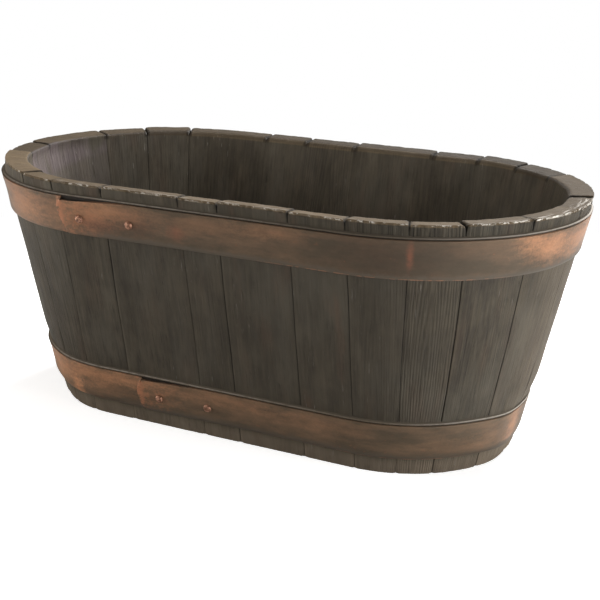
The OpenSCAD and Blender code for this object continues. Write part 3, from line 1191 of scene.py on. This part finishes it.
@dataclass
class Board:
    """One stave, sawn, carved and worn flat, and then wrapped round the wall."""

    number: int
    node: bpy.types.Object
    groove_low: float = 0.014
    groove_high: float = 0.026
    groove_depth: float = 0.006
    column: float = 0.0011
    row: float = 0.0036
    rim_row: float = 0.0013
    rim_band: float = 0.009
    layer: float = 0.002
    seam_gap: float = 0.00022
    seam_depth: float = 0.0035
    notch_width: float = 0.0044
    notch_depth: float = 0.0036
    notch_fade: float = 0.55
    corner_width: float = 0.0034
    corner_depth: float = 0.0018
    worn_edge: float = 0.0050
    worn_share: float = 0.8
    worn_band: float = 0.0024
    chipped_band: float = 0.0032
    inner_band: float = 0.004
    rim_fall: float = 0.0015
    grain_tilt: float = 0.012

    def __post_init__(self) -> None:
        """Takes the board's sizes from its CAD node, laid out flat."""
        flat = PLAN.unwrap(coordinates(self.node))
        self.start, self.end = float(flat[:, 0].min()), float(flat[:, 0].max())
        self.thickness = float(flat[:, 1].max())
        self.top = float(flat[:, 2].max())
        self.random = np.random.default_rng(self.number)
        self.worn_edge = SHARP_EDGES.get(self.number, self.worn_edge)
        self.seams = (self.number - 1 if self.number > 1 else BOARD_COUNT, self.number)

    def saw(self) -> bpy.types.Object:
        """Saws the flat board with its groove for the base panel, and divides it."""
        t, inner = self.thickness, self.thickness - self.groove_depth
        outline = [
            (0, 0), (t, 0), (t, self.groove_low), (inner, self.groove_low),
            (inner, self.groove_high), (t, self.groove_high), (t, self.top), (0, self.top),
        ]
        piece = bar(f"board_{self.number:02d}", outline, self.start, self.end)
        shoulder = self.top - self.rim_band
        cut_across(Axis.UP, [self.groove_low, self.groove_high, shoulder])
        cut_across(Axis.INTO, [inner])
        for axis, low, high, step in (
            (Axis.ALONG, self.start, self.end, self.column),
            (Axis.UP, self.groove_high, shoulder, self.row),
            (Axis.UP, shoulder, self.top, self.rim_row),
            (Axis.UP, 0, self.groove_low, self.row),
            (Axis.UP, self.groove_low, self.groove_high, self.row),
            (Axis.INTO, 0, inner, self.layer),
            (Axis.INTO, inner, t, self.layer),
        ):
            divide(piece, axis, low, high, step)
        bpy.ops.object.mode_set(mode="OBJECT")
        return piece

    def mark(self, piece: bpy.types.Object) -> None:
        """Marks the faces, seams, notches and edges of the flat board as vertex groups."""
        along, into, up = coordinates(piece).T
        below = self.top - up
        from_inner = self.thickness - into
        face = np.minimum(into, from_inner)
        rim = np.clip(1 - below / self.rim_band, 0, 1)
        inside = (from_inner < self.inner_band) & (below > self.worn_band)
        inner_rim = (from_inner < self.worn_edge) & (below < self.worn_edge)
        outer_rim = (into < self.worn_band) & (below < self.chipped_band)
        open_part = (np.minimum(face, below) < self.seam_depth) & (up > self.row)
        sides = (along - self.start, self.end - along)
        near = np.sort(np.column_stack([face, np.minimum(*sides), below]), 1)
        soft = (near[:, 1] < self.worn_band).astype(float)
        weigh(piece, "outer", (into < TOUCH).astype(float))
        weigh(piece, "inner", (into > self.thickness - TOUCH).astype(float))
        weigh(piece, "top", (below < TOUCH).astype(float))
        for name, side, seam in zip(("left", "right"), sides, self.seams):
            shown = np.where(inside, INNER_SEAMS.get(seam, 0.0), seam_darkness(seam, up))
            weigh(piece, name, (side < TOUCH) * open_part * shown)
            by_seam = (side < self.worn_band) & inside
            soft *= np.where(by_seam, INNER_SEAMS.get(seam, 0.0), 1.0)
            size = NOTCH_SIZES.get(seam, 0.7)
            inward = 1 - self.notch_fade * into / self.thickness
            ramp = rounded(side, self.notch_width * size * inward)
            weigh(piece, f"{name}_notch", ramp * size * inward * rim)
            corner = rounded(side, self.corner_width) * (into < TOUCH)
            corner = corner * seam_darkness(seam, up)
            weigh(piece, f"{name}_round", corner * (0.25 + 0.75 * size * rim))
        weigh(piece, "edges", soft)
        weigh(piece, "fall", into / self.thickness * rim)
        weigh(piece, "inner_round", rounded(from_inner, self.worn_edge) * rim)
        weigh(piece, "inner_rim", inner_rim.astype(float))
        weigh(piece, "outer_rim", outer_rim.astype(float))

    def carve(self, piece: bpy.types.Object) -> None:
        """Cuts seams, notches, growth lines, splits and wear into the flat board."""
        centre = tuple(float(v) for v in self.random.uniform(-1, 1, 3))
        tilt = float(self.random.uniform(-self.grain_tilt, self.grain_tilt))
        shift(piece, "left", "X", self.seam_gap)
        shift(piece, "right", "X", -self.seam_gap)
        for side in ("left", "right"):
            shift(piece, f"{side}_notch", "Z", -self.notch_depth)
            shift(piece, f"{side}_round", "Y", self.corner_depth)
        shift(piece, "fall", "Z", -self.rim_fall)
        shift(piece, "inner_round", "Z", -self.worn_share * self.worn_edge)
        for group, inward in (("outer", 1), ("inner", -1)):
            for carving in FACE_CARVINGS:
                carving.cut(piece, group, inward, centre, tilt)
        for carving in TOP_CARVINGS:
            carving.cut(piece, "top", -1, centre)
        CHIPS.cut(piece, "outer_rim", 1, centre)
        soften(piece, "edges")
        soften(piece, "inner_rim")

    def sway(self, piece: bpy.types.Object) -> np.ndarray:
        """How far each vertex moves along the rim, for seams that bow and wander.

        Args:
            piece: The flat board.

        Returns:
            The move of each vertex, the same on both sides of a seam.
        """
        rows = coordinates(piece)
        share = np.clip((rows[:, 0] - self.start) / (self.end - self.start), 0, 1)
        left, right = (seam_bow(seam, rows[:, 2] / PLAN.height) for seam in self.seams)
        moved = np.zeros_like(rows)
        moved[:, 0] = (1 - share) * left + share * right
        return moved

    def finish(self) -> BoardFinish:
        """The board's own finish, with three random draws in a fixed order."""
        number = self.number
        return BoardFinish(
            name=f"board_{number:02d}_wood",
            start=self.start,
            width=self.end - self.start,
            thickness=self.thickness,
            top=self.top,
            light=float(self.random.uniform(0.89, 1.0)),
            warm=WARM_BOARDS.get(number, float(self.random.uniform(0.2, 0.8))),
            chalky=CHALKY_BOARDS.get(number, 0.3),
            comb=COMBED_BOARDS.get(number, 0.15),
            dusty=DUSTY_BOARDS.get(number, 0.1),
            figure=FIGURES.get(number, Figure.PLAIN),
            ring_foot=float(self.random.uniform(-0.05, 0.15)),
            seams=tuple(SEAM_DARKNESS.get(seam, OPEN_SEAM) for seam in self.seams),
            inner_seams=tuple(INNER_SEAMS.get(seam, 0.05) for seam in self.seams),
            top_seams=tuple(TOP_SEAMS.get(seam, 0.6) for seam in self.seams),
            top_painted_light=TOP_PAINTED_LIGHT.get(number, 1.0),
            bevel_painted_shade=BEVEL_PAINTED_SHADE.get(number, 1.0),
            collar=COLLARS.get(number, 1.0),
            edge=self.worn_edge,
            contrast=CONTRASTS.get(number, 1.0),
        )

    def build(self) -> bpy.types.Object:
        """Makes the board, sets it on the wall and dresses it.

        Returns:
            The finished piece.
        """
        piece = self.saw()
        self.mark(piece)
        self.carve(piece)
        set_on_wall(piece, self.sway(piece))
        piece.data.materials.append(self.finish().make())
        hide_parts(self.node.name)
        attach(piece, "root")
        return piece


# The bright places stand partly for rubbed paint and partly for painted highlight; the dark place
# is painted shade.
UPPER_RUBS = (
    Rub(0.300, 0.213, 0.075, 0.034, 0.6, Paint.DARK),
    Rub(0.434, 0.226, 0.020, 0.010, 0.5),
    Rub(0.455, 0.217, 0.034, 0.015, 0.5),
    Rub(0.500, 0.217, 0.050, 0.019, 0.34),
    Rub(0.545, 0.220, 0.050, 0.024, 0.35),
    Rub(0.322, 0.217, 0.0035, 0.014, 0.7, Paint.RED),
    Rub(0.035, 0.222, 0.040, 0.014, 0.35),
    Rub(-0.025, 0.214, 0.040, 0.026, 0.20),
    Rub(0.130, 0.220, 0.060, 0.010, 0.12),
    Rub(0.200, 0.224, 0.040, 0.008, 0.18),
    Rub(0.008, 0.216, 0.030, 0.018, 0.30),
    Rub(-0.085, 0.216, 0.050, 0.034, 0.40),
    Rub(0.018, 0.208, 0.030, 0.012, 0.45, Paint.RED),
    Rub(0.062, 0.212, 0.026, 0.014, 0.25, Paint.RED),
    Rub(0.105, 0.210, 0.010, 0.010, 0.5, Paint.RED),
    Rub(-0.560, 0.218, 0.110, 0.014, 0.10),
    Rub(-0.700, 0.212, 0.070, 0.016, 0.08),
)
LOWER_RUBS = (
    Rub(0.400, 0.026, 0.060, 0.016, 0.08),
    Rub(0.455, 0.036, 0.050, 0.018, 0.06),
    Rub(0.495, 0.036, 0.026, 0.024, 0.36),
    Rub(0.000, 0.036, 0.060, 0.020, 0.16),
    Rub(0.160, 0.036, 0.110, 0.014, 0.08),
    Rub(-0.050, 0.024, 0.014, 0.012, 0.55),
    Rub(-0.100, 0.038, 0.060, 0.024, 0.45),
    Rub(-0.030, 0.044, 0.070, 0.014, 0.36),
    Rub(0.030, 0.046, 0.050, 0.010, 0.20),
    Rub(0.064, 0.036, 0.026, 0.018, 0.12),
    Rub(0.130, 0.046, 0.080, 0.010, 0.18),
    Rub(0.230, 0.042, 0.060, 0.010, 0.10),
    Rub(-0.650, 0.042, 0.100, 0.012, 0.10),
    Rub(-0.438, 0.036, 0.090, 0.014, 0.10),
)


@dataclass
class Hoop:
    """One painted band round the boards, with a bare lip above it and a lapped free end."""

    name: str
    foot: float
    height: float
    lap_end: float
    foot_out: float
    taper: float
    lap_middle: float
    top_sweep: float
    foot_sweep: float
    sink: float
    droop: float
    light: float
    rubs: tuple[Rub, ...]
    lap_wedge: float
    thickness: float = 0.003
    arris: float = 0.0003
    lip_height: float = 0.0016
    lip_arris: float = 0.0004
    lip_tuck: float = 0.0010
    groove_gap: float = 0.0009
    groove_cut: float = 0.0012
    lap_thickness: float = 0.0025
    lap_length: float = 0.096
    free_end: float = 0.006
    wedge_length: float = 0.070
    least_fade: float = 0.006
    lap_bow: float = 0.010
    lap_step: float = 0.0005
    near: float = 0.0002
    merge_within: float = 0.00002
    dent_below: float = 0.006
    parts: tuple[int, int] = (20, 28)
    end_cuts: tuple[float, float, float] = (-0.0010, 0.0125, 0.0005)
    flat_turn: Span = (1.0, 1.45)
    droop_turn: Span = (0.8, 1.5)
    back_turn: Span = (2.8, 2.2)

    @property
    def head(self) -> float:
        """Height of the painted band's upper edge."""
        return self.foot + self.height

    @property
    def lap_place(self) -> float:
        """Place along the rim of the lap's free end."""
        return self.lap_end + PLAN.half_straight

    def outline(self) -> list[Span]:
        """The band's section, as depth and height, from the foot of its hidden face."""
        lip = self.head + self.groove_gap
        face_foot = self.foot + self.taper
        corners = [(self.foot, 0.0), (self.foot, self.foot_out * 0.6)]
        for share in np.linspace(0.1, 1, 6):
            rise = (self.thickness - self.foot_out) * share * (2 - share)
            corners.append((self.foot + self.taper * share, self.foot_out + rise))
        face = np.linspace(face_foot + 0.003, self.head - 0.001, 9)
        corners += [(height, self.thickness) for height in face]
        corners += [
            (self.head - self.arris, self.thickness),
            (self.head, self.thickness - self.arris),
            (self.head, self.thickness - self.groove_cut),
            (lip, self.thickness - self.groove_cut),
            (lip, self.thickness - self.lip_arris),
            (lip + self.lip_arris, self.thickness),
        ]
        for share in np.linspace(0.2, 1, 8):
            out = self.thickness * (1 - share) ** 1.6 - self.lip_tuck * share
            corners.append((lip + self.lip_height * share, out))
        return [PLAN.off_wall(height, out) for height, out in corners]

    def build(self) -> bpy.types.Object:
        """Makes the hoop, sets it on the wall and dresses it.

        Returns:
            The finished piece.
        """
        half = PLAN.perimeter / 2
        piece = bar(f"{self.name}_band", self.outline(), -half, half)
        for parts in self.parts:
            divide(piece, Axis.ALONG, -half, half, 2 * half / parts)
        cut_across(Axis.ALONG, [self.lap_place + step for step in np.arange(*self.end_cuts)])
        bpy.ops.object.mode_set(mode="OBJECT")
        self.open_ends(piece)
        self.lap(piece)
        self.dent(piece)
        set_on_wall(piece, self.settled(piece))
        self.close(piece)
        finish = HoopFinish(
            name=f"{self.name}_paint",
            foot=self.foot,
            head=self.head,
            lip=self.head + self.groove_gap,
            lap=self.lap_place,
            fade=max(self.taper, self.least_fade),
            rubs=self.rubs,
            wedge=self.lap_wedge,
            wedge_length=self.wedge_length,
            light=self.light,
        )
        piece.data.materials.append(finish.make())
        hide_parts(self.name)
        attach(piece, "root")
        return piece

    def open_ends(self, piece: bpy.types.Object) -> None:
        """Takes the bar's two end faces off, so that the ring can be joined."""
        choose(piece)
        bpy.ops.object.mode_set(mode="EDIT")
        bpy.ops.mesh.select_mode(type="FACE")
        bpy.ops.mesh.select_all(action="DESELECT")
        mesh = bmesh.from_edit_mesh(piece.data)
        for face in mesh.faces:
            face.select = abs(face.normal.x) > 0.9
        bmesh.update_edit_mesh(piece.data)
        bpy.ops.mesh.delete(type="ONLY_FACE")
        bpy.ops.object.mode_set(mode="OBJECT")

    def close(self, piece: bpy.types.Object) -> None:
        """Joins the ring where its two ends meet."""
        choose(piece)
        bpy.ops.object.mode_set(mode="EDIT")
        bpy.ops.mesh.select_all(action="SELECT")
        bpy.ops.mesh.remove_doubles(threshold=self.merge_within)
        bpy.ops.object.mode_set(mode="OBJECT")

    def lap(self, piece: bpy.types.Object) -> None:
        """Thickens the band where its free end lies over it, with a gap above the free end."""
        along, into, up = coordinates(piece).T
        from_end = along - self.lap_place
        groove_floor = self.groove_cut - self.thickness
        floor = (np.abs(into - groove_floor) < 0.0003) & (up > self.head - 0.0008)
        band = up < self.head + self.near
        outside = (into < -0.0004) & band & ~floor
        rise = (up - self.foot - self.lap_middle) / self.lap_bow
        sweep = np.where(rise > 0, self.top_sweep, self.foot_sweep) * rise**2
        past = np.clip((from_end - sweep) / self.lap_step, 0, 1)
        thick = np.clip(1 - from_end / self.lap_length, 0, 1)
        weigh(piece, "lap", outside * past * thick)
        opening = np.clip(1 - (from_end - self.free_end) / self.wedge_length, 0, 1)
        opening = opening * (from_end > self.free_end + self.near)
        lowered = (outside | floor) & band
        height = np.clip((up - self.foot) / self.height, 0, 1)
        weigh(piece, "wedge", lowered * opening * height)
        shift(piece, "lap", "Y", -self.lap_thickness)
        shift(piece, "wedge", "Z", -self.lap_wedge)

    def dent(self, piece: bpy.types.Object) -> None:
        """Leaves the painted face slightly uneven, as beaten metal is."""
        _, into, up = coordinates(piece).T
        face = (into < -0.0026) & (up > self.foot + self.taper)
        face = face & (up < self.head - self.dent_below)
        weigh(piece, "face", face.astype(float))
        BEATEN.cut(piece, "face")

    def settled(self, piece: bpy.types.Object) -> np.ndarray:
        """How the band lies flatter and lower round the right end.

        Args:
            piece: The flat band.

        Returns:
            The move of each vertex.
        """
        flat = coordinates(piece)
        right, _ = PLAN.from_ends(flat)
        back = eased(right, *self.back_turn)
        moved = np.zeros_like(flat)
        moved[:, 1] = -flat[:, 1] * self.sink * eased(right, *self.flat_turn) * back
        moved[:, 2] = -self.droop * eased(right, *self.droop_turn) * back
        return moved


HOOPS = (
    Hoop(
        name="upper_hoop",
        foot=0.195,
        height=0.0357,
        lap_end=-0.151,
        foot_out=0.0022,
        taper=0.0030,
        lap_middle=0.026,
        top_sweep=0.0080,
        foot_sweep=0.0014,
        sink=0.3,
        droop=0.0,
        light=1.0,
        rubs=UPPER_RUBS,
        lap_wedge=0.0034,
    ),
    Hoop(
        name="lower_hoop",
        foot=0.0165,
        height=0.0362,
        lap_end=-0.091,
        foot_out=0.0008,
        taper=0.0090,
        lap_middle=0.020,
        top_sweep=0.0030,
        foot_sweep=0.0017,
        sink=0.72,
        droop=0.0045,
        # Painted light: the lower hoop's paint and lip are painted lighter than the upper hoop's.
        light=1.17,
        rubs=LOWER_RUBS,
        lap_wedge=0.0024,
    ),
)


@dataclass
class RivetPair:
    """The two hammered rivet heads of one hoop, on their shanks."""

    name: str
    hoop: Hoop
    head: float = 0.008
    inset: float = 0.025
    pitch: float = 0.0525
    rise: float = 0.0026
    shank: float = 0.004
    drop: float = 0.019
    around: int = 28
    over: int = 14
    smooth_under: float = math.radians(40)

    def build(self) -> bpy.types.Object:
        """Makes both rivets as one piece.

        Returns:
            The finished piece.
        """
        heads = [self.rivet(i) for i in range(2)]
        clear_selection()
        for head in heads:
            head.select_set(True)
        bpy.context.view_layer.objects.active = heads[0]
        bpy.ops.object.join()
        piece = bpy.context.object
        piece.name = piece.data.name = f"{self.name}_heads"
        choose(piece)
        bpy.ops.object.shade_smooth_by_angle(angle=self.smooth_under)
        piece.data.materials.append(RivetFinish().make())
        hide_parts(self.name)
        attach(piece, "root")
        return piece

    def rivet(self, index: int) -> bpy.types.Object:
        """One rivet, set on the wall."""
        along = self.inset + index * self.pitch
        seat = self.hoop.thickness + self.hoop.lap_thickness * (1 - along / self.hoop.lap_length)
        height = self.hoop.head - self.drop
        clear_selection()
        bpy.ops.mesh.primitive_uv_sphere_add(segments=self.around, ring_count=self.over, radius=1)
        piece = bpy.context.object
        rows = coordinates(piece)
        low = rows[:, 2] < 0
        rows[:, 0:2] *= np.where(low, self.shank, self.head)[:, None] / 2
        rows[:, 2] = np.where(low, rows[:, 2] * seat, rows[:, 2] * self.rise)
        place_vertices(piece, rows)
        turn = Matrix.Rotation(math.pi / 2 + PLAN.lean_angle, 4, "X")
        across = PLAN.back_shift - PLAN.wall_radius(height)
        wall = Vector((self.hoop.lap_end + along, across, height))
        out = turn.to_3x3() @ Vector((0, 0, seat))
        piece.data.transform(Matrix.Translation(wall + out) @ turn)
        return piece


# ---------------------------------------------------------------- studio


PLANTER_MIDDLE = 0.12


@dataclass(frozen=True)
class Lamp:
    """One square soft lamp that looks at the planter."""

    name: str
    place: Place
    power: float
    size: float = 1.0
    tint: Colour = (1, 1, 1)

    def hang(self) -> None:
        """Puts the lamp in the scene."""
        data = bpy.data.lights.new(self.name, "AREA")
        data.shape = "SQUARE"
        data.size = self.size
        data.energy = self.power
        data.color = self.tint
        lamp = bpy.data.objects.new(self.name, data)
        bpy.context.scene.collection.objects.link(lamp)
        lamp.location = self.place
        aim = Vector((0, 0, PLANTER_MIDDLE)) - Vector(self.place)
        lamp.rotation_euler = aim.to_track_quat("-Z", "Y").to_euler()


LAMPS = (
    Lamp("right", (2.0, -0.3, 0.35), 33),
    Lamp("right_front", (1.3, -1.5, 0.6), 6),
    Lamp("left", (-1.9, -0.9, 0.4), 27, tint=(1.0, 0.95, 0.88)),
    Lamp("behind", (0.2, 1.6, 1.4), 88),
    Lamp("above", (0.0, 0.1, 2.2), 10, 1.4),
)


@dataclass
class Studio:
    """White floor, white surroundings, soft lamps and the photograph's camera."""

    turn: float = math.radians(24.972)
    rise: float = math.radians(17.621)
    roll: float = math.radians(1.389)
    distance: float = 1.177745
    lens: float = 69.631
    sensor: float = 36
    aside: float = 0.01791
    above: float = -0.014744
    surround: float = 0.09
    floor_size: float = 9
    floor_lit: Colour = (0.75, 0.75, 0.75)
    floor_seen: Colour = (0.8, 0.8, 0.8)
    floor_glow: float = 0.72
    floor_fade: Span = (0.45, 0.9)

    def camera(self) -> None:
        """Puts the camera where the photograph was taken from."""
        back = Vector((
            math.sin(self.turn) * math.cos(self.rise),
            -math.cos(self.turn) * math.cos(self.rise),
            math.sin(self.rise),
        ))
        right = Vector((math.cos(self.turn), math.sin(self.turn), 0))
        up = back.cross(right)
        middle = Vector((0, PLAN.back_shift, PLAN.height / 2))
        aim = middle + right * self.aside + up * self.above
        data = bpy.data.cameras.new("camera")
        data.lens = self.lens
        data.sensor_width = self.sensor
        camera = bpy.data.objects.new("camera", data)
        bpy.context.scene.collection.objects.link(camera)
        turned = Matrix((right, up, back)).transposed().to_4x4()
        stand = Matrix.Translation(aim + back * self.distance)
        camera.matrix_world = stand @ turned @ Matrix.Rotation(self.roll, 4, "Z")
        bpy.context.scene.camera = camera

    def surroundings(self) -> None:
        """Lets the camera see white, and the planter a softer grey."""
        world = bpy.data.worlds.new("studio")
        bpy.context.scene.world = world
        world.use_nodes = True
        tree = world.node_tree
        tree.nodes.clear()
        soft, seen = (tree.nodes.new("ShaderNodeBackground") for _ in range(2))
        for white in (soft, seen):
            white.inputs["Color"].default_value = (1, 1, 1, 1)
        soft.inputs["Strength"].default_value = self.surround
        path = tree.nodes.new("ShaderNodeLightPath")
        mixed = tree.nodes.new("ShaderNodeMixShader")
        out = tree.nodes.new("ShaderNodeOutputWorld")
        tree.links.new(path.outputs["Is Camera Ray"], mixed.inputs[0])
        tree.links.new(soft.outputs[0], mixed.inputs[1])
        tree.links.new(seen.outputs[0], mixed.inputs[2])
        tree.links.new(mixed.outputs[0], out.inputs[0])

    def floor(self) -> None:
        """Lays a white floor that keeps the planter's shadow and fades to plain white."""
        clear_selection()
        bpy.ops.mesh.primitive_plane_add(size=self.floor_size, location=(0, 0, 0))
        floor = bpy.context.object
        floor.name = "floor"
        r = Recipe("floor_white")
        seen = r.node("ShaderNodeLightPath", {}, {}, "Is Camera Ray")
        away = r.node("ShaderNodeVectorMath", {"operation": "LENGTH"}, {0: r.whole()}, "Value")
        r.finish(r.mix(seen, self.floor_lit, self.floor_seen), 0.9, specular=0.0)
        lit = Shade(r, r.shader.outputs[0])
        glow = r.node("ShaderNodeEmission", {}, {"Strength": self.floor_glow})
        white = r.node("ShaderNodeEmission", {}, {"Strength": 1.0})
        near = r.node("ShaderNodeAddShader", {}, {0: lit, 1: glow})
        shown = {0: away.within(*self.floor_fade), 1: near, 2: white}
        shown = r.node("ShaderNodeMixShader", {}, shown)
        mixed = r.node("ShaderNodeMixShader", {}, {0: seen, 1: lit, 2: shown})
        out = next(n for n in r.tree.nodes if n.type == "OUTPUT_MATERIAL")
        r.feed(out.inputs["Surface"], mixed)
        floor.data.materials.append(r.material)

    def build(self) -> None:
        """Sets the studio up."""
        self.camera()
        self.surroundings()
        self.floor()
        for lamp in LAMPS:
            lamp.hang()
        bpy.context.scene.view_settings.view_transform = "Standard"


# ---------------------------------------------------------------- the planter


def report(piece: bpy.types.Object) -> None:
    """Says which piece is done, and of how many faces it is."""
    log.info("%s: %d faces", piece.name, len(piece.data.polygons))


def main() -> None:
    """Builds the studio and every piece of the planter."""
    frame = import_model()
    Studio().build()
    nodes = frame["nodes"]
    for name in sorted(n for n in nodes if n.startswith("stave_")):
        report(Board(int(name[-2:]), nodes[name]).build())
    for hoop in HOOPS:
        report(hoop.build())
        report(RivetPair(hoop.name.replace("hoop", "rivets"), hoop).build())
    panel = nodes["base_panel"]
    panel.data.materials.clear()
    panel.data.materials.append(PanelFinish().make())
    report(panel)


if __name__ == "__main__":
    main()
